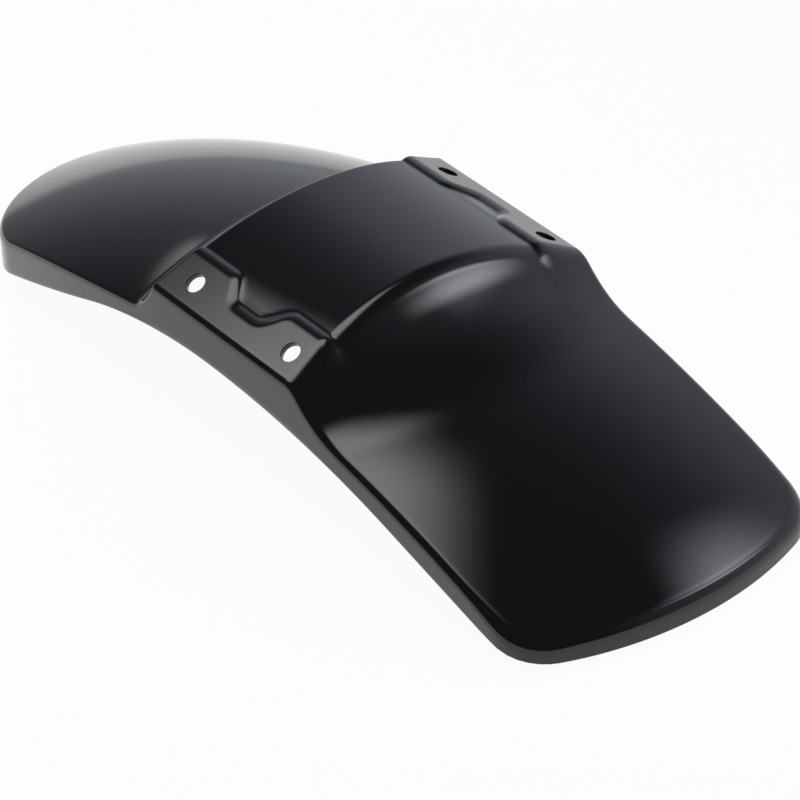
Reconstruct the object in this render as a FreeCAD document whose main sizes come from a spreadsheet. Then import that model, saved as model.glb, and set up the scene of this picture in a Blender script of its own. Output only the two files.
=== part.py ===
import FreeCAD, Part
import math
import os
import Sketcher

# A short motorcycle front fender moulded in one piece. It is drawn with its saddle level:
# x runs from the rounded nose to the square tail, y across, and zero is midway between the
# four mounting holes. The finished moulding is then set down on its own lower edge.

doc = FreeCAD.newDocument("front_fender")
sheet = doc.addObject("Spreadsheet::Sheet", "sizes")
filled = []


def size(alias, value, meaning):
    """one row of the sheet: what the size is, and the cell that holds it under its alias"""
    filled.append(alias)
    row = len(filled)
    sheet.set("A%d" % row, meaning)
    sheet.set("B%d" % row, str(value))
    sheet.setAlias("B%d" % row, alias)


# the moulding as a whole
size("width", 145, "width over the two side flanges")
size("wall", 2.5, "thickness of the moulded wall")
size("edge_round", 4, "outer radius where the top rolls over into the flange")
size("rest_pitch", 3, "angle between the saddle and the ground the fender stands on, degrees")

# the nose, the longer domed end
size("nose_reach", 225.1, "from the saddle's middle to the nose tip")
size("nose_straight", 38, "where the straight sides begin to draw in")
size("nose_side_round", 899, "plan radius of the drawn-in side")
size("nose_corner_round", 39.5, "plan radius of the nose corner")
size("nose_tip_over", 0.61705, "how far the tip's circle reaches out past the drawn-in side")
size("nose_tip_round", "=((nose_side_round + nose_tip_over)^2 - (nose_reach - nose_straight)^2"
     " - (nose_side_round - width / 2)^2)"
     " / (2 * (nose_side_round + nose_tip_over - nose_reach + nose_straight))",
     "plan radius of the nose tip, which follows the width between the sides")
size("nose_top", 15.6, "height of the nose's crown line at its summit")
size("nose_summit", 61.6, "place of that summit along the fender")
size("nose_sweep", 575, "side-view radius of the nose's crown line")
size("nose_arch", 121, "radius of the nose across its width")

# the tail, the flatter end
size("tail_reach", 200.6, "from the saddle's middle to the tail's edge")
size("tail_edge_round", 156, "plan radius of the bowed tail edge")
size("tail_corner_round", 23.2, "plan radius of the tail's corners")
size("tail_top", -1.9, "height of the tail's crown line at its summit")
size("tail_summit", -55, "place of that summit along the fender")
size("tail_sweep", 692, "side-view radius of the tail's crown line")
size("tail_arch", 333, "radius of the tail across its width")

# the raised saddle between them
size("saddle_top", 16.2, "height of the saddle's crown above the holes")
size("saddle_arch", 115, "radius of the saddle across its width")
size("ridge_place", 40.4, "from the saddle's middle to the ridge, on the centre line")
size("ridge_bow", 8.7, "how much further out the ridge is at the flange")
size("ridge_run", 16, "length of the hollow sweep that climbs to the ridge")
size("ridge_soft", 2.2, "height over which the ridge is rounded off")
size("shoulder_place", 37, "where the saddle starts to fall to the tail, on the centre line")
size("shoulder_bow", 3.7, "how much further out that is at the flange")
size("shoulder_run", 50.1, "length of the fall on the centre line")
size("shoulder_edge_run", 28.9, "length of the fall at the flange")
size("shoulder_bend", 7, "length of the outward bend at the top of the fall")

# the two flat pads that take the bolts
size("hole_pitch", 63.6, "from hole to hole along a pad")
size("hole_span", 125.2, "from hole to hole across the fender")
size("hole_dia", 8.4, "diameter of the bolt holes")
size("pad_tilt", 29.8, "slope of the pads, degrees")
size("pad_inner", 49.7, "from the centre line to a pad's inner edge")
size("pad_step", 8, "width of the step from the saddle's crown up to a pad")
size("step_crest", 0.25, "share of the step that is rounded inward, next to the crown")
size("notch_depth", 9.3, "how far the saddle's crown reaches in between the holes")
size("notch_from", -18.1, "where the notch begins")
size("notch_to", 21.8, "where the notch ends")
size("notch_steep", 10.1, "run of the notch's steep side")
size("notch_slant", 18.7, "run of the notch's slanted side")

# the lower edge of the flange in side view
size("arch_place", -14.5, "place of the lower edge's highest point")
size("arch_height", -24.1, "height of that point")
size("arch_nose_round", 242, "radius of the lower edge toward the nose")
size("arch_tail_round", 448, "radius of the lower edge toward the tail")
size("arch_nose_fall", 20.6, "fall of the lower edge along the nose, degrees")
size("arch_tail_fall", 15.3, "fall of the lower edge along the tail, degrees")
size("heel_round", 170, "radius that levels the lower edge out at the tail")
size("heel_height", -61.4, "height of the lower edge where the tail touches the ground")
size("heel_place", 196, "place at which that height is given")
doc.recompute()
v = {alias: float(sheet.get(alias)) for alias in filled}


def arc_drop(radius, along):
    """how far a circle of this radius has fallen at a distance from its top"""
    return radius - math.sqrt(radius * radius - along * along)


def ease(share):
    """smooth step from 0 to 1"""
    s = min(max(share, 0.0), 1.0)
    return s * s * s * (10 + s * (6 * s - 15))


def two_bends(share, crest):
    """smooth step from 0 to 1 made of two parabolas that meet at the crest's share"""
    s = min(max(share, 0.0), 1.0)
    if s < crest:
        return s * s / crest
    return 1 - (1 - s) * (1 - s) / (1 - crest)


def pad_edge(x):
    """the inner edge of a pad in plan: straight, with a notch between the holes"""
    into = ease((x - v["notch_from"]) / v["notch_steep"])
    out = ease((v["notch_to"] - x) / v["notch_slant"])
    return v["pad_inner"] + v["notch_depth"] * into * out


def saddle_height(x, y, deep):
    """arched crown, stepping up to the flat tilted pads at the sides"""
    crown = v["saddle_top"] - deep - arc_drop(v["saddle_arch"] - deep, y)
    tilt = math.radians(v["pad_tilt"])
    pad = (v["hole_span"] / 2 - y) * math.tan(tilt) - deep / math.cos(tilt)
    lean = (pad_edge(x + 0.5) - pad_edge(x - 0.5))
    away = (y - pad_edge(x)) / math.sqrt(1 + lean * lean) + 0.25 * deep
    crest = v["step_crest"]
    return crown + (pad - crown) * two_bends(away / v["pad_step"] + crest, crest)


def ridge_at(share, deep):
    """place of the ridge in plan, set back as it nears the flange"""
    return -v["ridge_place"] - v["ridge_bow"] * share * share + 0.8 * deep


def top_height(x, y, deep):
    """height of the moulding's top skin, or of the skin that lies deep below it"""
    y = abs(y)
    share = y / (v["width"] / 2)
    saddle = saddle_height(x, y, deep)
    if x < 0:
        ridge = ridge_at(share, deep)
        crown = v["nose_top"] - deep - arc_drop(v["nose_sweep"] - deep, x - v["nose_summit"])
        dome = crown - arc_drop(v["nose_arch"] - deep, y)
        rise = saddle_height(ridge, y, deep) - dome
        climb = max(1 - (ridge - x) / v["ridge_run"], 0.0)
        sweep = dome + rise * climb * climb
        near = max(v["ridge_soft"] - abs(sweep - saddle), 0.0)
        return min(sweep, saddle) - near * near / (4 * v["ridge_soft"])
    crown = v["tail_top"] - deep - arc_drop(v["tail_sweep"] - deep, x - v["tail_summit"])
    tail = crown - arc_drop(v["tail_arch"] - deep, y)
    start = v["shoulder_place"] + v["shoulder_bow"] * share * share - 0.5 * deep
    run = v["shoulder_run"] + (v["shoulder_edge_run"] - v["shoulder_run"]) * share * share
    return saddle + (tail - saddle) * two_bends((x - start) / run, v["shoulder_bend"] / run)


def arc(cx, cy, radius, start, end):
    """an arc drawn anticlockwise between two angles"""
    circle = Part.Circle(FreeCAD.Vector(cx, cy, 0), FreeCAD.Vector(0, 0, 1), radius)
    return Part.ArcOfCircle(circle, start, end)


def line(x1, y1, x2, y2):
    """a straight line between two places"""
    return Part.LineSegment(FreeCAD.Vector(x1, y1, 0), FreeCAD.Vector(x2, y2, 0))


def rule(sketch, *what):
    """a sketch constraint without a size"""
    return sketch.addConstraint(Sketcher.Constraint(*what))


def named(sketch, alias, text, *what):
    """a sketch dimension whose value comes from the sheet"""
    sketch.renameConstraint(rule(sketch, *what), alias)
    sketch.setExpression("Constraints." + alias, text)


def plan_sketch():
    """plan outline of the fender: bowed tail edge, straight sides, drawn-in rounded nose"""
    half = v["width"] / 2
    straight = v["nose_straight"]
    end = v["tail_edge_round"]
    corner = v["tail_corner_round"]
    side = v["nose_side_round"]
    turn = v["nose_corner_round"]
    tip = v["nose_tip_round"]
    end_x = v["tail_reach"] - end
    tip_x = tip - v["nose_reach"]
    corner_x = end_x + math.sqrt((end - corner) ** 2 - (half - corner) ** 2)
    swing = math.atan2(half - corner, corner_x - end_x)
    # the nose corner touches both the drawn-in side and the tip from inside
    gap_x = tip_x + straight
    gap_y = side - half
    gap = math.hypot(gap_x, gap_y)
    foot = ((side - turn) ** 2 - (tip - turn) ** 2 + gap * gap) / (2 * gap)
    rise = math.sqrt((side - turn) ** 2 - foot * foot)
    turn_x = -straight + (gap_x * foot - gap_y * rise) / gap
    turn_y = -gap_y + (gap_y * foot + gap_x * rise) / gap
    side_end = math.atan2(turn_y + gap_y, turn_x + straight)
    turn_end = math.atan2(turn_y, turn_x - tip_x)
    full = 2 * math.pi
    sketch = doc.addObject("Sketcher::SketchObject", "plan")
    sketch.addGeometry([
        arc(end_x, 0, end, -swing, swing),
        arc(corner_x, half - corner, corner, swing, math.pi / 2),
        line(corner_x, half, -straight, half),
        arc(-straight, half - side, side, math.pi / 2, side_end),
        arc(turn_x, turn_y, turn, side_end, turn_end),
        arc(tip_x, 0, tip, turn_end, full - turn_end),
        arc(turn_x, -turn_y, turn, full - turn_end, full - side_end),
        arc(-straight, side - half, side, full - side_end, 1.5 * math.pi),
        line(-straight, -half, corner_x, -half),
        arc(corner_x, corner - half, corner, 1.5 * math.pi, full - swing),
    ])
    for i in range(10):
        rule(sketch, "Tangent", i, 2, (i + 1) % 10, 1)
    rule(sketch, "Horizontal", 2)
    rule(sketch, "Horizontal", 8)
    rule(sketch, "PointOnObject", 0, 3, -1)
    rule(sketch, "PointOnObject", 5, 3, -1)
    named(sketch, "tail_edge", "sizes.tail_edge_round", "Radius", 0, end)
    named(sketch, "far_corner", "sizes.tail_corner_round", "Radius", 1, corner)
    named(sketch, "near_corner", "sizes.tail_corner_round", "Radius", 9, corner)
    named(sketch, "far_side", "sizes.nose_side_round", "Radius", 3, side)
    named(sketch, "near_side", "sizes.nose_side_round", "Radius", 7, side)
    named(sketch, "far_turn", "sizes.nose_corner_round", "Radius", 4, turn)
    named(sketch, "near_turn", "sizes.nose_corner_round", "Radius", 6, turn)
    named(sketch, "tip", "sizes.nose_tip_round", "Radius", 5, tip)
    named(sketch, "far_half", "sizes.width / 2", "DistanceY", -1, 1, 2, 1, half)
    named(sketch, "near_half", "sizes.width / 2", "DistanceY", 8, 1, -1, 1, half)
    named(sketch, "far_straight", "sizes.nose_straight", "DistanceX", 2, 2, -1, 1, straight)
    named(sketch, "near_straight", "sizes.nose_straight", "DistanceX", 8, 1, -1, 1, straight)
    named(sketch, "tail_x", "sizes.tail_reach - sizes.tail_edge_round",
          "DistanceX", -1, 1, 0, 3, end_x)
    named(sketch, "nose_x", "sizes.nose_reach - sizes.nose_tip_round",
          "DistanceX", 5, 3, -1, 1, -tip_x)
    return sketch


def side_sketch():
    """side view of the flange's lower edge: two arcs over the wheel, ends level with the ground"""
    nose = math.radians(v["arch_nose_fall"])
    tail = math.radians(v["arch_tail_fall"])
    ground = math.radians(v["rest_pitch"])
    top_x = v["arch_place"]
    top_z = v["arch_height"]
    nose_r = v["arch_nose_round"]
    tail_r = v["arch_tail_round"]
    heel = v["heel_round"]
    far = 300.0
    nose_x = top_x - nose_r * math.sin(nose)
    nose_z = top_z - nose_r * (1 - math.cos(nose))
    tail_x = top_x + tail_r * math.sin(tail)
    tail_z = top_z - tail_r * (1 - math.cos(tail))
    level = v["heel_height"] - v["heel_place"] * math.tan(ground)
    meet_x = (level - nose_z + nose_x * math.tan(nose)) / (math.tan(nose) - math.tan(ground))
    meet_z = level + meet_x * math.tan(ground)
    # the heel arc hangs tangent between the tail's fall and the ground
    turn = (tail + ground) / 2
    cross_x = (tail_z + tail_x * math.tan(tail) - level) / (math.tan(ground) + math.tan(tail))
    cross_z = level + cross_x * math.tan(ground)
    cut = heel * math.tan(turn)
    from_x = cross_x - cut * math.cos(tail)
    from_z = cross_z + cut * math.sin(tail)
    onto_x = cross_x + cut * math.cos(ground)
    onto_z = cross_z + cut * math.sin(ground)
    heel_x = onto_x - heel * math.sin(ground)
    heel_z = onto_z + heel * math.cos(ground)
    quarter = math.pi / 2
    sketch = doc.addObject("Sketcher::SketchObject", "side")
    sketch.Placement = FreeCAD.Placement(FreeCAD.Vector(), FreeCAD.Vector(1, 0, 0), 90)
    sketch.addGeometry([
        line(-far, level - far * math.tan(ground), meet_x, meet_z),
        line(meet_x, meet_z, nose_x, nose_z),
        arc(top_x, top_z - nose_r, nose_r, quarter, quarter + nose),
        arc(top_x, top_z - tail_r, tail_r, quarter - tail, quarter),
        line(tail_x, tail_z, from_x, from_z),
        arc(heel_x, heel_z, heel, 3 * quarter - tail, 3 * quarter + ground),
        line(onto_x, onto_z, far, level + far * math.tan(ground)),
    ])
    touch = sketch.addGeometry(Part.Point(FreeCAD.Vector(v["heel_place"], v["heel_height"], 0)), True)
    rule(sketch, "Coincident", 0, 2, 1, 1)
    rule(sketch, "Tangent", 1, 2, 2, 2)
    rule(sketch, "Tangent", 2, 1, 3, 2)
    rule(sketch, "Tangent", 3, 1, 4, 1)
    rule(sketch, "Tangent", 4, 2, 5, 1)
    rule(sketch, "Tangent", 5, 2, 6, 1)
    rule(sketch, "Tangent", 0, 6)
    rule(sketch, "Vertical", 2, 3, 2, 1)
    rule(sketch, "PointOnObject", touch, 1, 6)
    named(sketch, "nose_round", "sizes.arch_nose_round", "Radius", 2, nose_r)
    named(sketch, "tail_round", "sizes.arch_tail_round", "Radius", 3, tail_r)
    named(sketch, "heel", "sizes.heel_round", "Radius", 5, heel)
    named(sketch, "nose_fall", "sizes.arch_nose_fall * 1 deg", "Angle", 1, nose)
    named(sketch, "tail_fall", "-sizes.arch_tail_fall * 1 deg", "Angle", 4, -tail)
    named(sketch, "pitch", "sizes.rest_pitch * 1 deg", "Angle", 6, ground)
    named(sketch, "top_x", "-sizes.arch_place", "DistanceX", 2, 1, -1, 1, -top_x)
    named(sketch, "top_z", "-sizes.arch_height", "DistanceY", 2, 1, -1, 1, -top_z)
    named(sketch, "heel_x", "sizes.heel_place", "DistanceX", -1, 1, touch, 1, v["heel_place"])
    named(sketch, "heel_z", "-sizes.heel_height", "DistanceY", touch, 1, -1, 1, -v["heel_height"])
    rule(sketch, "DistanceX", 0, 1, -1, 1, far)
    rule(sketch, "DistanceX", -1, 1, 6, 2, far)
    return sketch


plan = plan_sketch()
side = side_sketch()
doc.recompute()


def lower_height(x):
    """height of the flange's lower edge, read off the side sketch"""
    for part in side.Geometry:
        ends = sorted((part.StartPoint.x, part.EndPoint.x)) if hasattr(part, "StartPoint") else (1, 0)
        if ends[0] <= x <= ends[1]:
            if hasattr(part, "Radius"):
                depth = math.sqrt(part.Radius ** 2 - (x - part.Center.x) ** 2)
                over = part.StartPoint.y > part.Center.y
                return part.Center.y + (depth if over else -depth)
            share = (x - part.StartPoint.x) / (part.EndPoint.x - part.StartPoint.x)
            return part.StartPoint.y + (part.EndPoint.y - part.StartPoint.y) * share


def stations(stops):
    """places from the first stop to the last; each stop gives the spacing up to the next one"""
    places = []
    for (here, step), (there, unused) in zip(stops, stops[1:]):
        parts = max(int(round((there - here) / step)), 1)
        places += [here + (there - here) * i / parts for i in range(parts)]
    return places + [stops[-1][0]]


def spline_faces(net, cuts=(), weights=None):
    """smooth faces drawn by a net of control points, cut across at the given control lines"""
    orders = []
    for points, most in ((len(net), 3), (len(net[0]), 2 if weights else 3)):
        order = min(most, points - 1)
        inside = points - order - 1
        orders.append((order, [order + 1] + [1] * inside + [order + 1], list(range(inside + 2))))
    (u_order, u_mults, u_knots), (v_order, v_mults, v_knots) = orders
    surface = Part.BSplineSurface()
    surface.buildFromPolesMultsKnots(net, u_mults, v_mults, u_knots, v_knots, False, False,
                                     u_order, v_order, weights)
    ends = [0] + [cut - 1 for cut in cuts] + [u_knots[-1]]
    faces = []
    for first, last in zip(ends, ends[1:]):
        piece = surface.copy()
        piece.segment(first, last, 0, v_knots[-1])
        faces.append(piece.toShape())
    return faces


def rib(start, rim, outward, deep):
    """control points over the top to the rolled edge, around that edge, and down the flange"""
    radius = v["edge_round"] - deep
    top = top_height(rim.x, rim.y, deep)
    back = rim - outward
    slope = math.atan(top_height(back.x, back.y, deep) - top)
    turn = (math.pi / 2 - slope) / 2
    cut = radius * math.tan(turn)
    corner = FreeCAD.Vector(rim.x, rim.y, top)
    leave = corner - (outward * math.cos(slope) - FreeCAD.Vector(0, 0, math.sin(slope))) * cut
    land = corner - FreeCAD.Vector(0, 0, cut)
    over = []
    for i in range(rows):
        place = start + (leave - start) * (i / rows)
        over.append(FreeCAD.Vector(place.x, place.y, top_height(place.x, place.y, deep)))
    foot = FreeCAD.Vector(rim.x, rim.y, lower_height(rim.x))
    return {"over": over + [leave], "roll": [leave, corner, land], "wall": [land, foot],
            "pull": [1.0, math.cos(turn), 1.0]}


def flipped(ribs):
    """the same ribs on the other side of the centre line"""
    other = []
    for one in ribs:
        turned = {key: [FreeCAD.Vector(p.x, -p.y, p.z) for p in one[key]] for key in ("over", "roll", "wall")}
        turned["pull"] = one["pull"]
        other.append(turned)
    return other


def through(net):
    """control lines moved outward a little, so that the face runs through the places they stood for"""
    moved = [net[0]]
    for before, here, after in zip(net, net[1:], net[2:]):
        moved.append([b * (4 / 3) - (a + c) * (1 / 6) for a, b, c in zip(before, here, after)])
    return moved + [net[-1]]


# the rim: half of the plan outline, from the nose tip along one side to the middle of the tail
rim = []
whole = Part.Wire(Part.__sortEdges__(plan.Shape.Edges)).discretize(Number=2400)
near = sorted((p for p in whole if p.y <= 0), key=lambda p: p.x)
near[0] = FreeCAD.Vector(-v["nose_reach"], 0, 0)
near[-1] = FreeCAD.Vector(v["tail_reach"], 0, 0)
gone = 0.0
for i, p in enumerate(near):
    before = near[max(i - 1, 0)]
    after = near[min(i + 1, len(near) - 1)]
    step = (after - before).normalize()
    outward = FreeCAD.Vector(step.y, -step.x, 0)
    if i == 0:
        outward = FreeCAD.Vector(-1, 0, 0)
    if i == len(near) - 1:
        outward = FreeCAD.Vector(1, 0, 0)
    gone += (p - before).Length
    rim.append((gone, p, outward))


def by_length(item):
    """rim places in order of their distance from the nose tip"""
    return item[0]


def by_x(item):
    """rim places in order of their x"""
    return item[1].x


def rim_where(value, key):
    """a place on the rim and its outward direction, found by distance or by x"""
    low = 0
    high = len(rim) - 1
    while high - low > 1:
        middle = (low + high) // 2
        if key(rim[middle]) <= value:
            low = middle
        else:
            high = middle
    a = rim[low]
    b = rim[high]
    share = (value - key(a)) / (key(b) - key(a))
    place = a[1] + (b[1] - a[1]) * share
    outward = (a[2] + (b[2] - a[2]) * share).normalize()
    return place, outward


# where the control lines run: a middle field, a flank beside it, and a fan around each end
half = v["width"] / 2
rows = 12
columns = 6
middle_half = v["pad_inner"] - 8
middle_nose = -v["nose_reach"] + 72
middle_tail = v["tail_reach"] - 39
nose_split = -v["nose_reach"] + 44
tail_split = v["tail_reach"] - 15
nose_length = [s for s, p, o in rim if p.x >= nose_split][0]
tail_length = rim[-1][0] - [s for s, p, o in rim if p.x >= tail_split][0]
ridge = -v["ridge_place"]
sweep_from = ridge - v["ridge_run"] - 6
fall = v["shoulder_place"]
fall_to = fall + v["shoulder_run"] + 4
along = stations([(middle_nose, 14), (sweep_from, 3.5), (ridge - 4, 1.6), (ridge + 4, 6),
                  (v["notch_from"] - 3, 2.8), (v["notch_to"] + 3, 4), (fall_to, 15), (middle_tail, 0)])
across = [middle_half * j / columns for j in range(-columns, columns + 1)]
# the long faces are cut where the saddle begins and ends
cuts = [along.index(sweep_from), along.index(fall_to)]


def shifted(x, share):
    """a control line's place: it follows the ridge and the shoulder as they bow"""
    back = v["ridge_bow"] * ease(-x / 30) * ease((x + 130) / 60)
    forth = v["shoulder_bow"] * ease(x / 30) * ease((130 - x) / 50)
    return x + (forth - back) * share * share


def fan(row, places, first, deep):
    """ribs around one end, from the near flank's end rib over the middle to the far flank's"""
    ribs = [first]
    for start, distance in zip(row[1:], places[1:]):
        place, outward = rim_where(distance, by_length)
        ribs.append(rib(start, place - outward * deep, outward, deep))
    return ribs + flipped(reversed(ribs[:-1]))


def skin(deep):
    """faces of the outer skin, or of the skin that lies deep inside it, and their lower edges"""
    middle = []
    flank = []
    for x in along:
        places = [(shifted(x, abs(y) / half), y) for y in across]
        row = [FreeCAD.Vector(px, y, top_height(px, y, deep)) for px, y in places]
        middle.append(row)
        spread = (nose_split - middle_nose) * ease((middle_nose + 50 - x) / 50)
        spread += (tail_split - middle_tail) * ease((x - middle_tail + 50) / 50)
        place, outward = rim_where(shifted(x, 1) + spread, by_x)
        flank.append(rib(row[0], place - outward * deep, outward, deep))
    shares = [1 - j / columns for j in range(columns + 1)]
    nose = fan(middle[0], [nose_length * s for s in shares], flank[0], deep)
    tail = fan(middle[-1], [rim[-1][0] - tail_length * s for s in shares], flank[-1], deep)
    lines = through([list(line) for line in zip(*middle)])
    faces = spline_faces([list(row) for row in zip(*lines)], cuts)
    feet = []
    for ribs, where, pass_through in ((flank, cuts, list), (flipped(flank), cuts, list),
                                      (nose, (), through), (tail, (), through)):
        walls = pass_through([one["wall"] for one in ribs])
        faces += spline_faces(pass_through([one["over"] for one in ribs]), where)
        faces += spline_faces(pass_through([one["roll"] for one in ribs]), where,
                              [one["pull"] for one in ribs])
        faces += spline_faces(walls, where)
        feet.append(([land_and_foot[-1] for land_and_foot in walls], where))
    return faces, feet


outer, outer_feet = skin(0.0)
inner, inner_feet = skin(v["wall"])
faces = outer + inner
for (edge, where), (within, unused) in zip(outer_feet, inner_feet):
    faces += spline_faces([list(pair) for pair in zip(edge, within)], where)
hull = Part.Shell(faces)
hull.sewShape()
body = Part.Solid(hull)
if body.Volume < 0:
    body.reverse()
moulding = doc.addObject("Part::Feature", "moulding")
moulding.Shape = body

# bolt holes, bored square to the pads: two on the near side, mirrored to the far side
drills = []
for name, sign in (("nose_drill", "-"), ("tail_drill", "")):
    drill = doc.addObject("Part::Cylinder", name)
    drill.Placement = FreeCAD.Placement(FreeCAD.Vector(), FreeCAD.Vector(1, 0, 0), v["pad_tilt"])
    drill.setExpression("Radius", "sizes.hole_dia / 2")
    drill.setExpression("Height", "sizes.wall * 6")
    drill.setExpression("Placement.Rotation.Angle", "sizes.pad_tilt * 1 deg")
    drill.setExpression("Placement.Base.x", sign + "sizes.hole_pitch / 2")
    drill.setExpression("Placement.Base.y",
                        "-sizes.hole_span / 2 + sizes.wall * 3 * sin(sizes.pad_tilt * 1 deg)")
    drill.setExpression("Placement.Base.z", "-sizes.wall * 3 * cos(sizes.pad_tilt * 1 deg)")
    drills.append(drill)
    other = doc.addObject("Part::Mirroring", "far_" + name)
    other.Source = drill
    other.Normal = FreeCAD.Vector(0, 1, 0)
    drills.append(other)
bores = doc.addObject("Part::MultiFuse", "bores")
bores.Shapes = drills
fender = doc.addObject("Part::Cut", "fender")
fender.Base = moulding
fender.Tool = bores
doc.recompute()

# set down on the ground: turned by the rest angle, lowest edge at zero, middle of its length at x zero
turn = FreeCAD.Rotation(FreeCAD.Vector(0, 1, 0), v["rest_pitch"])
fender.Placement = FreeCAD.Placement(FreeCAD.Vector(), turn)
doc.recompute()
box = fender.Shape.BoundBox
shift = FreeCAD.Vector(-(box.XMin + box.XMax) / 2, 0, -box.ZMin)
fender.Placement = FreeCAD.Placement(shift, turn)
fender.Label = "fender"
doc.recompute()

os.makedirs("parts", exist_ok=True)
for thing in doc.Objects:
    if "Invalid" in thing.State or "Error" in thing.State:
        raise RuntimeError(thing.Name + " did not build")
if fender.Shape.isNull() or not fender.Shape.isValid() or len(fender.Shape.Solids) != 1:
    raise RuntimeError("the fender is not one sound solid")
fender.Shape.exportStep("parts/fender.step")
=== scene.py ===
import math

import bmesh
import bpy
import numpy as np
from mathutils import Matrix, Vector


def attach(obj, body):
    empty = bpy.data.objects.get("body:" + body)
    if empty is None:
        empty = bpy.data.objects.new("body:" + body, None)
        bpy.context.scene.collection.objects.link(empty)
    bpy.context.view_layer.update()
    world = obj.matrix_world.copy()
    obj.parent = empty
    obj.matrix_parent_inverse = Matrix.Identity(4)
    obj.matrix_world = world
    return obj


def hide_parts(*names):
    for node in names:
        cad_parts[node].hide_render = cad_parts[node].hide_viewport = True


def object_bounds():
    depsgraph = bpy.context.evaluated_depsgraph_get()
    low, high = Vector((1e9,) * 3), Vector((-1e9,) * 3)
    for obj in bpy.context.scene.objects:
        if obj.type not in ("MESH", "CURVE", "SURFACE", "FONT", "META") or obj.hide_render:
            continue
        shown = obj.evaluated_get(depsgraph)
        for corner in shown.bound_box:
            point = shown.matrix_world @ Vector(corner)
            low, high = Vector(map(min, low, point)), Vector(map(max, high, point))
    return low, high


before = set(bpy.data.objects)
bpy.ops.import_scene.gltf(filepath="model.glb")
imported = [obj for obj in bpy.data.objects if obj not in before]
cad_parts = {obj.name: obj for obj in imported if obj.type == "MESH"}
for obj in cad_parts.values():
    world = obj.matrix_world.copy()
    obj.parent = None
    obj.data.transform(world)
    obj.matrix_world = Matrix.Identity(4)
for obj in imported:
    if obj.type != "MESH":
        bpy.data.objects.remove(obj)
cad_low, cad_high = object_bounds()

# The fender: a short motorcycle mudguard moulded in one piece of glossy black plastic.
# Its form is drawn in millimetres with the saddle level, x from nose to tail and zero midway
# between the four bolt holes, and the finished mesh is then set down on its own lower edge.
wall = 2.5
half = (cad_high[1] - cad_low[1]) * 500
edge_round, lip_round = 4.0, 0.6
tail_edge_more, tail_edge_from, tail_edge_grow = 3.5, 140, 50
rest_pitch = math.radians(3)
nose_reach, nose_straight = 225.1, 38
nose_side_round, nose_corner_round, nose_tip_round = 899, 39.5, 64
nose_top, nose_summit, nose_sweep, nose_arch = 15.6, 61.6, 575, 121
tail_reach, tail_edge_round, tail_corner_round = 200.6, 156, 23.2
tail_top, tail_summit, tail_sweep, tail_arch = -1.9, -55, 692, 333
saddle_top, saddle_arch = 16.2, 115
ridge_place, ridge_bow, ridge_run, ridge_soft = 40.4, 8.7, 16, 1.5
shoulder_place, shoulder_bow, shoulder_run = 37, 3.7, 50.1
shoulder_edge_run, shoulder_bend, foot_stretch = 28.9, 7, 1.22
hole_pitch, hole_span, hole_round = 63.6, 125.2, 4.2
pad_tilt, pad_inner, pad_step, step_crest = math.radians(29.8), 49.7, 6.5, 0.25
step_fade, step_fade_run = 18, 22
notch_depth, notch_from, notch_to = 9.3, -21.5, 21.8
notch_steep, notch_slant = 17, 18.7
arch_place, arch_height, arch_nose_round, arch_tail_round = -14.5, -24.1, 242, 448
arch_nose_fall, arch_tail_fall = math.radians(20.6), math.radians(15.3)
heel_round, heel_height, heel_place = 170, -61.4, 196
# how far the step, the ridge and the shoulder are set back in the inner skin, as shares of the wall
step_back, ridge_back, shoulder_back = 0.25, 0.8, 0.5
# points along each rib: before, over and after the pad's step, around the roll, and down the flange
before_step, over_step, after_step, around_roll, down_flange = 6, 18, 14, 12, 7


def arc_drop(radius, along):
    """How far a circle of this radius has fallen at a distance from its top."""
    return radius - np.sqrt(radius * radius - along * along)


def ease(share):
    """Smooth step from 0 to 1: the fifth-degree one, level at both ends."""
    s = np.clip(share, 0, 1)
    return s ** 3 * (10 + s * (6 * s - 15))


def pad_edge(x):
    """Inner edge of a pad in plan: straight, with a notch between the holes."""
    into = ease((x - notch_from) / notch_steep)
    out = ease((notch_to - x) / notch_slant)
    return pad_inner + notch_depth * into * out


def two_bends(share, crest):
    """Smooth step from 0 to 1 made of two parabolas that meet at the crest's share."""
    s = np.clip(share, 0, 1)
    return np.where(s < crest, s ** 2 / crest, 1 - (1 - s) ** 2 / (1 - crest))


def long_foot(share, crest):
    """Smooth step from 0 to 1: a parabola up to the crest's share, then a cubic that ends evenly."""
    s = np.clip(share, 0, 1)
    fall = 1 / ((1 - crest) ** 2 * (1 + crest / 2))
    rise = 1.5 * fall * (1 - crest) ** 2 / crest
    return np.where(s < crest, rise * s ** 2, 1 - fall * (1 - s) ** 3)


def saddle_height(x, y, deep):
    """An arched crown that steps up to the flat tilted pads; the step softens beyond the shoulder."""
    crown = saddle_top - deep - arc_drop(saddle_arch - deep, y)
    pad = (hole_span / 2 - y) * math.tan(pad_tilt) - deep / math.cos(pad_tilt)
    lean = pad_edge(x + 0.5) - pad_edge(x - 0.5)
    away = (y - pad_edge(x)) / np.sqrt(1 + lean * lean) + step_back * deep
    step = pad_step + step_fade * ease((x - shoulder_place) / step_fade_run)
    return crown + (pad - crown) * two_bends(away / step + step_crest, step_crest)


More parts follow.
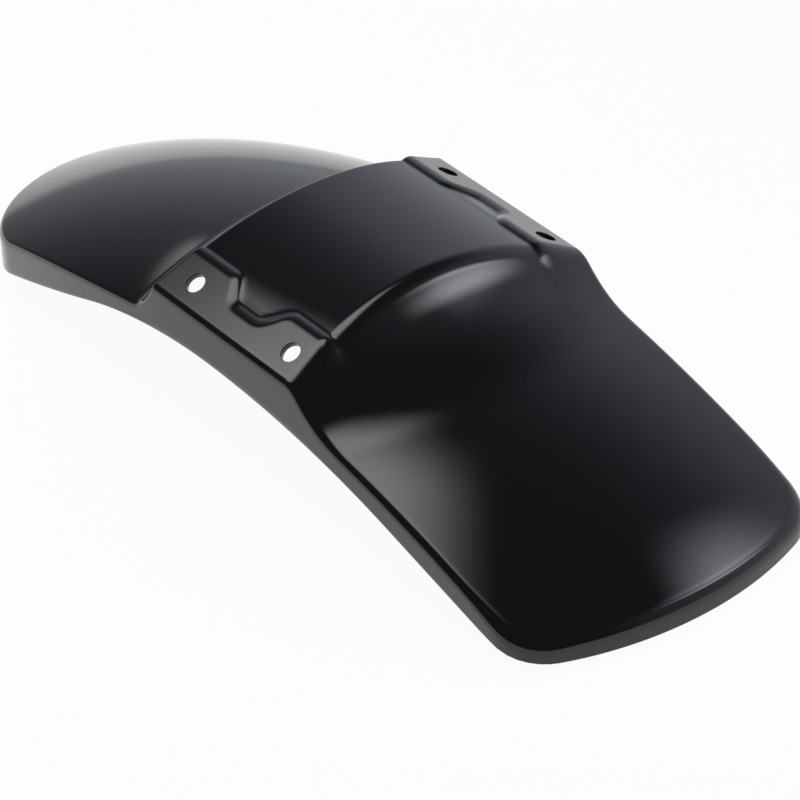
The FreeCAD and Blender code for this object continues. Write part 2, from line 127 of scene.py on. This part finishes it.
def top_height(x, y, deep=0.0):
    """Height of the top skin, or of the skin that lies deep below it.

    Toward the nose it is the lower of the dome, swept up to the ridge by a parabola, and the
    saddle, with the ridge between them rounded; toward the tail the saddle falls to the tail's
    surface by a parabola rounded outward and a cubic rounded inward.
    """
    y = np.abs(y)
    share = y / half
    saddle = saddle_height(x, y, deep)
    ridge = -ridge_place - ridge_bow * share ** 2 + ridge_back * deep
    dome = nose_top - deep - arc_drop(nose_sweep - deep, x - nose_summit)
    dome = dome - arc_drop(nose_arch - deep, y)
    climb = np.clip(1 - (ridge - x) / ridge_run, 0, None)
    sweep = dome + (saddle_height(ridge, y, deep) - dome) * climb ** 2
    near = np.clip(ridge_soft - np.abs(sweep - saddle), 0, None)
    nose = np.minimum(sweep, saddle) - near ** 2 / (4 * ridge_soft)
    tail = tail_top - deep - arc_drop(tail_sweep - deep, x - tail_summit)
    tail = tail - arc_drop(tail_arch - deep, y)
    start = shoulder_place + shoulder_bow * share ** 2 - shoulder_back * deep
    run = foot_stretch * (shoulder_run + (shoulder_edge_run - shoulder_run) * share ** 2)
    fallen = long_foot((x - start) / run, shoulder_bend / run)
    return np.where(x < 0, nose, saddle + (tail - saddle) * fallen)


def lower_height(x):
    """Height of the flange's lower edge: two arcs over the wheel, straight falls, ends on the ground."""
    nose_x = arch_place - arch_nose_round * math.sin(arch_nose_fall)
    nose_z = arch_height - arc_drop(arch_nose_round, nose_x - arch_place)
    tail_x = arch_place + arch_tail_round * math.sin(arch_tail_fall)
    tail_z = arch_height - arc_drop(arch_tail_round, tail_x - arch_place)
    ground = heel_height + (x - heel_place) * math.tan(rest_pitch)
    level = heel_height - heel_place * math.tan(rest_pitch)
    steep = math.tan(rest_pitch) + math.tan(arch_tail_fall)
    cross_x = (tail_z + tail_x * math.tan(arch_tail_fall) - level) / steep
    cut = heel_round * math.tan((arch_tail_fall + rest_pitch) / 2)
    from_x = cross_x - cut * math.cos(arch_tail_fall)
    onto_x = cross_x + cut * math.cos(rest_pitch)
    heel_x = onto_x - heel_round * math.sin(rest_pitch)
    onto_z = level + onto_x * math.tan(rest_pitch)
    heel_z = onto_z + heel_round * math.cos(rest_pitch)
    nose_arc = arch_height - arc_drop(arch_nose_round, np.clip(x - arch_place, nose_x - arch_place, 0))
    tail_arc = arch_height - arc_drop(arch_tail_round, np.clip(x - arch_place, 0, tail_x - arch_place))
    nose_line = nose_z - (nose_x - x) * math.tan(arch_nose_fall)
    tail_line = tail_z - (x - tail_x) * math.tan(arch_tail_fall)
    heel_reach = np.clip(x - heel_x, from_x - heel_x, onto_x - heel_x)
    heel_arc = heel_z - np.sqrt(heel_round ** 2 - heel_reach ** 2)
    return np.select(
        [x < nose_x, x < arch_place, x < tail_x, x < from_x, x < onto_x],
        [np.maximum(nose_line, ground), nose_arc, tail_arc, tail_line, heel_arc], ground)


def turned(cx, cy, radius, start, end):
    """Places along an arc, every half millimetre, with the direction outward from its centre."""
    angle = np.linspace(start, end, max(int(abs(end - start) * radius * 2), 8))
    out = np.stack([np.cos(angle), np.sin(angle)], 1)
    return np.hstack([np.array([cx, cy]) + radius * out, out])


def half_rim():
    """Near half of the plan outline, from the nose tip to the middle of the tail.

    It is made of the tip, a corner, the drawn-in side, the straight side, a corner and the bowed
    edge, each tangent to the next.
    """
    tip_x = nose_tip_round - nose_reach
    end_x = tail_reach - tail_edge_round
    corner_y = half - tail_corner_round
    corner_x = end_x + math.sqrt((tail_edge_round - tail_corner_round) ** 2 - corner_y ** 2)
    swing = math.atan2(corner_y, corner_x - end_x)
    gap_x = tip_x + nose_straight
    gap_y = nose_side_round - half
    gap = math.hypot(gap_x, gap_y)
    reach = nose_side_round - nose_corner_round
    foot = (reach ** 2 - (nose_tip_round - nose_corner_round) ** 2 + gap * gap) / (2 * gap)
    rise = math.sqrt(reach ** 2 - foot * foot)
    turn_x = -nose_straight + (gap_x * foot - gap_y * rise) / gap
    turn_y = gap_y - (gap_y * foot + gap_x * rise) / gap
    side_end = math.atan2(turn_y - gap_y, turn_x + nose_straight) + 2 * math.pi
    turn_end = math.atan2(turn_y, turn_x - tip_x) + 2 * math.pi
    straight = np.linspace(-nose_straight, corner_x, int((corner_x + nose_straight) * 2))
    flat = np.zeros_like(straight)
    rim = np.vstack([
        turned(tip_x, 0, nose_tip_round, math.pi, turn_end),
        turned(turn_x, turn_y, nose_corner_round, turn_end, side_end)[1:],
        turned(-nose_straight, gap_y, nose_side_round, side_end, 1.5 * math.pi)[1:],
        np.stack([straight, flat - half, flat, flat - 1], 1)[1:],
        turned(corner_x, -corner_y, tail_corner_round, 1.5 * math.pi, 2 * math.pi - swing)[1:],
        turned(end_x, 0, tail_edge_round, -swing, 0)[1:],
    ])
    length = np.concatenate([[0], np.cumsum(np.hypot(*np.diff(rim[:, :2], axis=0).T))])
    return rim, length


rim, rim_length = half_rim()


def rim_at(value, key):
    """Places on the rim and the outward directions there, looked up by distance or by x."""
    found = np.stack([np.interp(value, key, rim[:, k]) for k in range(4)], 1)
    return found[:, :2], found[:, 2:] / np.linalg.norm(found[:, 2:], axis=1)[:, None]


def spaced(*stops):
    """Stations from the first stop to the last; each stop gives the spacing up to the next one."""
    runs = []
    for (here, step), (there, unused) in zip(stops, stops[1:]):
        runs.append(np.linspace(here, there, max(round((there - here) / step), 1), endpoint=False))
    return np.concatenate(runs + [[stops[-1][0]]])


# control lines: a middle field, a flank beside it, and a fan around each end
middle_half = pad_inner - 7
middle_nose, middle_tail = -nose_reach + 72, tail_reach - 39
nose_split, tail_split = -nose_reach + 44, tail_reach - 15
along = spaced((middle_nose, 3.2), (-66, 1.2), (-45, 0.4), (-34, 0.9), (notch_from - 3, 0.6),
               (notch_to + 3, 0.9), (70, 2), (104, 3.2), (middle_tail, 0))
across = np.linspace(-middle_half, middle_half, 41)


def shifted(x, share):
    """A control line's place: it follows the ridge and the shoulder as they bow."""
    back = ridge_bow * ease(-x / 30) * ease((x + 130) / 60)
    forth = shoulder_bow * ease(x / 30) * ease((130 - x) / 50)
    return x + (forth - back) * share ** 2


def row_shares(x, reach, deep):
    """Where the rows lie from the middle field to the rolled edge: close together at the pad's step."""
    edge = (pad_edge(x) - step_back * deep - middle_half - pad_step * step_crest)[:, None] / reach
    step = pad_step / reach
    before = np.linspace(0, 1, before_step, endpoint=False) * edge
    over = edge + step * np.linspace(0, 1, over_step, endpoint=False)
    after = edge + step + np.linspace(0, 1, after_step) * (1 - edge - step)
    return np.hstack([before, over, after])


def ribs(start, place, outward, deep, shares):
    """Lines from the middle field over the top, around the rolled edge and down the flange.

    The roll is an arc that leaves the top along its own slope and lands on the upright flange.
    """
    radius = edge_round - deep + tail_edge_more * ease((place[:, 0] - tail_edge_from) / tail_edge_grow)
    edge = place - outward * deep
    back = edge - outward * 0.5
    top = top_height(edge[:, 0], edge[:, 1], deep)
    slope = np.arctan2(top_height(back[:, 0], back[:, 1], deep) - top, 0.5)
    cut = radius * np.tan((math.pi / 2 - slope) / 2)
    leave = edge - outward * (np.cos(slope) * cut)[:, None]
    xy = start[:, None, :] + (leave - start)[:, None, :] * shares[:, :, None]
    over = np.dstack([xy, top_height(xy[:, :, 0], xy[:, :, 1], deep)])
    angle = slope[:, None] + (math.pi / 2 - slope)[:, None] * np.linspace(0, 1, around_roll)[1:]
    centre_xy = edge - outward * radius[:, None]
    centre_z = top - cut
    roll_xy = centre_xy[:, None, :] + (radius[:, None] * np.sin(angle))[:, :, None] * outward[:, None, :]
    roll = np.dstack([roll_xy, centre_z[:, None] + radius[:, None] * np.cos(angle)])
    foot = lower_height(edge[:, 0])
    down = np.linspace(0, 1, down_flange)[1:]
    wall_z = centre_z[:, None] + (foot - centre_z)[:, None] * down
    wall_xy = np.repeat(edge[:, None, :], len(down), axis=1)
    return np.hstack([over, roll, np.dstack([wall_xy, wall_z])])


def section(start, place, outward, shares):
    """Closed ribs: the outer skin down to the lip, the rounded lip, and the inner skin back up."""
    outer = ribs(start, place, outward, 0.0, shares[0])
    inner = ribs(start, place, outward, wall, shares[1])[:, ::-1]
    outer[:, -1, 2] += lip_round
    inner[:, 0, 2] += lip_round
    side = np.array([0.07, 0.25, 0.5, 0.75, 0.93])[:, None]
    lift = -lip_round * np.array([0.7, 1, 1, 1, 0.7])
    lip = outer[:, None, -1] + (inner[:, None, 0] - outer[:, None, -1]) * side
    lip[:, :, 2] += lift
    return np.hstack([outer, lip, inner])


def fender_grids():
    """Point grids of the moulding: the middle inside and out, two flanks, and a fan around each end."""
    spread = (nose_split - middle_nose) * ease((middle_nose + 50 - along) / 50)
    spread += (tail_split - middle_tail) * ease((along - middle_tail + 50) / 50)
    y = np.repeat(across[None, :], len(along), axis=0)
    x = shifted(along[:, None], np.abs(y) / half)
    middle = [np.dstack([x, y, top_height(x, y, deep)]) for deep in (0.0, wall)]
    start = np.stack([x[:, 0], y[:, 0]], 1)
    place, outward = rim_at(shifted(along, 1) + spread, rim[:, 0])
    reach = half - middle_half - 2.2
    shares = [row_shares(start[:, 0], reach, deep) for deep in (0.0, wall)]
    shares = [np.clip(s / s[:, -1:], 0, 1) for s in shares]
    near = section(start, place, outward, shares)
    far = near * np.array([1, -1, 1])
    fans = []
    for end, length in ((0, rim_length[np.searchsorted(rim[:, 0], nose_split)]),
                        (-1, rim_length[-1] - rim_length[np.searchsorted(rim[:, 0], tail_split)])):
        begin = np.stack([x[end], y[end]], 1)
        distance = np.abs(across) / middle_half * length
        place, outward = rim_at(rim_length[-1] - distance if end else distance, rim_length)
        flip = np.where(across > 0, -1, 1)[:, None] * np.array([0, 1]) + np.array([1, 0])
        rows = [np.repeat(s[end][None, :], len(across), axis=0) for s in shares]
        fan = section(begin, place * flip, outward * flip, rows)
        fan[0], fan[-1] = near[end], far[end]
        fans.append(fan)
    return middle, near, far, fans


middle, near, far, fans = fender_grids()
grids = [middle[0], middle[1], near, far] + fans
firsts = np.cumsum([0] + [g.shape[0] * g.shape[1] for g in grids])
numbers = [first + np.arange(g.shape[0] * g.shape[1]).reshape(g.shape[:2])
           for first, g in zip(firsts, grids)]
kept = [np.ones((g.shape[0] - 1, g.shape[1] - 1), bool) for g in grids]
points = [g.reshape(-1, 3) for g in grids]
outer_rows = (near.shape[1] - 5) // 2


# mesh of the fender: the bolt holes are opened in the flanks, then the grids are joined into one skin
hole_margin, bevel = 0.8, 0.3


def window(grid, centre_x, deep):
    """First and last column and row of the faces around a bolt's place, a little wider than its hole."""
    centre_y = hole_span / 2 - deep * math.sin(pad_tilt)
    reach = hole_round + hole_margin
    beside = np.abs(grid[:, :, 0] - centre_x) < reach
    inside = beside & (np.abs(np.abs(grid[:, :, 1]) - centre_y) < reach * math.cos(pad_tilt))
    inside[:, outer_rows:] &= deep > 0
    inside[:, :outer_rows] &= deep == 0
    columns = np.nonzero(inside.any(1))[0]
    rows = np.nonzero(inside.any(0))[0]
    return [columns[0] - 1, columns[-1] + 1, rows[0] - 1, rows[-1] + 1]


def around(number, keep, place, inward):
    """Takes the faces of a window out and returns its edge's vertex numbers, middle side first."""
    i, k, j, m = place
    keep[i:k, j:m] = False
    j, m = (m, j) if inward else (j, m)
    step = -1 if inward else 1
    return np.concatenate([number[i:k, j], number[k, j:m:step],
                           number[k:i:-1, m], number[i, m:j:-step]])


def circle(loop_points, centre_x, side, deep, depth, radius):
    """A ring square to the pad, with one point in the direction of each point of a window's edge."""
    down = np.array([0, side * math.cos(pad_tilt), -math.sin(pad_tilt)])
    out = np.array([0, side * math.sin(pad_tilt), math.cos(pad_tilt)])
    centre = np.array([centre_x, side * hole_span / 2, 0])
    away = loop_points - (centre - out * deep)
    angle = np.arctan2(away @ down, away[:, 0])[:, None]
    return centre - out * depth + radius * (np.cos(angle) * np.array([1, 0, 0]) + np.sin(angle) * down)


rings = []
for which, side in ((2, -1), (3, 1)):
    for centre_x in (-hole_pitch / 2, hole_pitch / 2):
        grid = grids[which]
        outer, inner = window(grid, centre_x, 0.0), window(grid, centre_x, wall)
        outer[0] = inner[0] = min(outer[0], inner[0])
        outer[1] = inner[1] = max(outer[1], inner[1])
        tall = max(outer[3] - outer[2], inner[3] - inner[2])
        outer[3], inner[3] = outer[2] + tall, inner[2] + tall
        upper = around(numbers[which], kept[which], outer, False)
        lower = around(numbers[which], kept[which], inner, True)
        above, below = (grid.reshape(-1, 3)[loop - firsts[which]] for loop in (upper, lower))
        loops = [upper]
        for edge, deep, depth, radius in ((above, 0, 0, hole_round + bevel),
                                          (above, 0, bevel, hole_round),
                                          (below, wall, wall - bevel, hole_round),
                                          (below, wall, wall, hole_round + bevel)):
            loops.append(sum(len(p) for p in points) + np.arange(len(edge)))
            points.append(circle(edge, centre_x, side, deep, depth, radius))
        loops.append(lower)
        for one, other in zip(loops, loops[1:]):
            rings.append(np.stack([one, np.roll(one, -1), np.roll(other, -1), other], 1))

faces = []
for number, keep in zip(numbers, kept):
    cells = np.stack([number[:-1, :-1], number[1:, :-1], number[1:, 1:], number[:-1, 1:]], -1)
    faces.append(cells[keep])
faces = np.vstack(faces + rings)
points = np.vstack(points)
rounded = np.round(points, 3)
kept_points, joined = np.unique(rounded, axis=0, return_index=True, return_inverse=True)[1:]
faces = joined.reshape(-1)[faces]
used, renumbered = np.unique(faces, return_inverse=True)
points = points[kept_points][used]
faces = renumbered.reshape(faces.shape)

# set down on the lower edge: turned by the rest angle, then moved so that its box stands on the origin
turn = np.array([[math.cos(rest_pitch), 0, -math.sin(rest_pitch)], [0, 1, 0],
                 [math.sin(rest_pitch), 0, math.cos(rest_pitch)]])
points = points @ turn
low, high = points.min(0), points.max(0)
shift = np.array([-(low[0] + high[0]) / 2, 0, -low[2]])
points = (points + shift) / 1000
mesh = bpy.data.meshes.new("fender_moulding")
mesh.from_pydata(points.tolist(), [], faces.tolist())
shell = bmesh.new()
shell.from_mesh(mesh)
bmesh.ops.recalc_face_normals(shell, faces=shell.faces[:])
shell.to_mesh(mesh)
shell.free()
mesh.shade_smooth()
mesh.set_sharp_from_angle(angle=math.radians(35))
fender = bpy.data.objects.new("fender_moulding", mesh)
bpy.context.scene.collection.objects.link(fender)
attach(fender, "root")
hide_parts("fender")


# Finish: black plastic moulded against a polished tool, so that it has a high gloss all over.
# It is one dark colour with a clear reflection, with no print, grain or wear.
def linear(hex_colour):
    """Scene colour of an sRGB hex value."""
    parts = [int(hex_colour[i:i + 2], 16) / 255 for i in (1, 3, 5)]
    return [p / 12.92 if p <= 0.04045 else ((p + 0.055) / 1.055) ** 2.4 for p in parts] + [1]


gloss = bpy.data.materials.new("gloss black plastic")
gloss.use_nodes = True
shader = gloss.node_tree.nodes["Principled BSDF"]
shader.inputs["Base Color"].default_value = linear("#08090B")
shader.inputs["Roughness"].default_value = 0.07
shader.inputs["IOR"].default_value = 1.55
mesh.materials.append(gloss)


# Stage: a white floor that stays white to the camera and in the gloss, with a faint shadow on it,
# a dim room that glows softly behind the fender, and soft-edged light cards around it.
def add(tree, kind, links=(), **settings):
    """Adds a node: settings go to its properties, links join sockets or numbers to its inputs."""
    made = tree.nodes.new(kind)
    for name, value in settings.items():
        setattr(made, name, value)
    for place, value in links:
        if isinstance(value, bpy.types.NodeSocket):
            tree.links.new(value, made.inputs[place])
        else:
            made.inputs[place].default_value = value
    return made


def smooth(tree, value, start, end):
    """A smooth rise from 0 to 1 while the value goes from start to end."""
    links = (("Value", value), ("From Min", start), ("From Max", end))
    return add(tree, "ShaderNodeMapRange", links, interpolation_type="SMOOTHSTEP").outputs["Result"]


def times(tree, one, other):
    """The product of two values."""
    return add(tree, "ShaderNodeMath", ((0, one), (1, other)), operation="MULTIPLY").outputs[0]


def flat(name, corners):
    """A flat sheet of the stage with four corners."""
    sheet_mesh = bpy.data.meshes.new(name)
    sheet_mesh.from_pydata(corners, [], [(0, 1, 2, 3)])
    sheet = bpy.data.objects.new(name, sheet_mesh)
    bpy.context.scene.collection.objects.link(sheet)
    return sheet


floor_half = 6
floor = flat("floor", [(-floor_half, -floor_half, 0), (floor_half, -floor_half, 0),
                       (floor_half, floor_half, 0), (-floor_half, floor_half, 0)])
paper = bpy.data.materials.new("white paper")
paper.use_nodes = True
tree = paper.node_tree
matt = tree.nodes["Principled BSDF"]
matt.inputs["Base Color"].default_value = linear("#FFFFFF")
matt.inputs["Roughness"].default_value = 1.0
path = add(tree, "ShaderNodeLightPath").outputs
place = add(tree, "ShaderNodeTexCoord").outputs["Object"]
away = add(tree, "ShaderNodeVectorMath", ((0, place),), operation="LENGTH").outputs["Value"]
# in the gloss the paper is white close by, and less so far off
far_white, fade_from, fade_to = 0.45, 0.3, 1.7
close = add(tree, "ShaderNodeMath", ((0, smooth(tree, away, fade_to, fade_from)),
                                     (1, 1 - far_white), (2, far_white)),
            operation="MULTIPLY_ADD").outputs[0]
mirrored = add(tree, "ShaderNodeMath", ((0, path["Is Glossy Ray"]), (1, path["Is Transmission Ray"])),
               use_clamp=True).outputs[0]
seen = add(tree, "ShaderNodeMath", ((0, times(tree, mirrored, close)), (1, path["Is Camera Ray"])),
           use_clamp=True).outputs[0]
white = add(tree, "ShaderNodeEmission", (("Color", linear("#FFFFFF")), ("Strength", 1.0)))
shadow_share = 0.05
blend = add(tree, "ShaderNodeMixShader", ((0, times(tree, seen, 1 - shadow_share)),
                                          (1, matt.outputs[0]), (2, white.outputs[0])))
tree.links.new(blend.outputs[0], tree.nodes["Material Output"].inputs["Surface"])
floor.data.materials.append(paper)


def card(name, centre, toward, side, width, height, soft, strength, colour):
    """A light card that faces a place, bright in the middle and fading out over its soft edge."""
    centre = Vector(centre)
    facing = (Vector(toward) - centre).normalized()
    across = Vector(side)
    across = (across - facing * across.dot(facing)).normalized() * width / 2
    upward = facing.cross(across).normalized() * height / 2
    sheet = flat(name, [centre - across - upward, centre + across - upward,
                        centre + across + upward, centre - across + upward])
    sheet.visible_camera = False
    uv = sheet.data.uv_layers.new(name="card")
    uv.data.foreach_set("uv", [0, 0, 1, 0, 1, 1, 0, 1])
    glow = bpy.data.materials.new(name)
    glow.use_nodes = True
    tree = glow.node_tree
    tree.nodes.clear()
    place = add(tree, "ShaderNodeTexCoord").outputs["UV"]
    place = add(tree, "ShaderNodeSeparateXYZ", ((0, place),)).outputs
    level = strength
    for axis, length, fade in (("X", width, soft[0]), ("Y", height, soft[1])):
        off = add(tree, "ShaderNodeMath", ((0, place[axis]), (1, 0.5)), operation="SUBTRACT").outputs[0]
        off = add(tree, "ShaderNodeMath", ((0, off),), operation="ABSOLUTE").outputs[0]
        level = times(tree, smooth(tree, off, 0.5, 0.5 - fade / length), level)
    light = add(tree, "ShaderNodeEmission", (("Color", linear(colour)), ("Strength", level)))
    clear = add(tree, "ShaderNodeBsdfTransparent")
    both = add(tree, "ShaderNodeAddShader", ((0, light.outputs[0]), (1, clear.outputs[0])))
    add(tree, "ShaderNodeOutputMaterial", (("Surface", both.outputs[0]),))
    sheet.data.materials.append(glow)


card("softbox above", (-0.27, -0.23, 0.72), (-0.27, -0.23, 0), (0.76, 0.65, 0),
     0.97, 0.53, (0.19, 0.18), 3.3, "#FFFFFF")
card("softbox behind", (0.73, 0.66, 0.69), (0.12, 0, 0.05), (0.53, -0.85, 0.48),
     0.84, 0.21, (0.36, 0.10), 3.8, "#FAFBFF")
card("lamp over the tail", (0.235, 0.12, 0.15), (0.13, 0, 0.05), (1, 0.02, -0.03),
     0.20, 0.15, (0.10, 0.075), 4.4, "#F2F6FF")
card("softbox beside the nose", (-1.11, -0.10, 0.64), (-0.05, -0.05, 0.07), (0, 1, 0),
     0.60, 0.18, (0.15, 0.06), 1.3, "#FFFFFF")

scene = bpy.context.scene
scene.view_settings.view_transform = "Standard"
world = bpy.data.worlds.new("studio")
scene.world = world
world.use_nodes = True
tree = world.node_tree
room = tree.nodes["Background"]
way = add(tree, "ShaderNodeTexCoord").outputs["Generated"]
glow_way, room_level, glow_level = (-0.12, 0.99, 0), 0.12, 0.76
behind = add(tree, "ShaderNodeVectorMath", ((0, way), (1, glow_way)),
             operation="DOT_PRODUCT").outputs["Value"]
height = add(tree, "ShaderNodeSeparateXYZ", ((0, way),)).outputs["Z"]
glow = times(tree, smooth(tree, behind, -0.19, 1.08), smooth(tree, height, 0.89, 0.55))
level = add(tree, "ShaderNodeMath", ((0, glow), (1, glow_level), (2, room_level)),
            operation="MULTIPLY_ADD").outputs[0]
tree.links.new(level, room.inputs["Strength"])
room.inputs["Color"].default_value = linear("#EEF3FF")

# Camera: the photograph's three-quarter view from the tail's near side, a long lens.
azimuth, elevation, roll = math.radians(55.77), math.radians(32.28), math.radians(-5.07)
back = Vector((math.sin(azimuth) * math.cos(elevation), -math.cos(azimuth) * math.cos(elevation),
               math.sin(elevation)))
right = Vector((math.cos(azimuth), math.sin(azimuth), 0))
up = back.cross(right)
right, up = (right * math.cos(roll) + up * math.sin(roll),
             up * math.cos(roll) - right * math.sin(roll))
lens = bpy.data.cameras.new("camera")
lens.sensor_width = 36
lens.lens = 219.6
camera = bpy.data.objects.new("camera", lens)
scene.collection.objects.link(camera)
camera.matrix_world = Matrix((right, up, back)).transposed().to_4x4()
camera.location = (1.3908, -0.9277, 1.0527)
scene.camera = camera
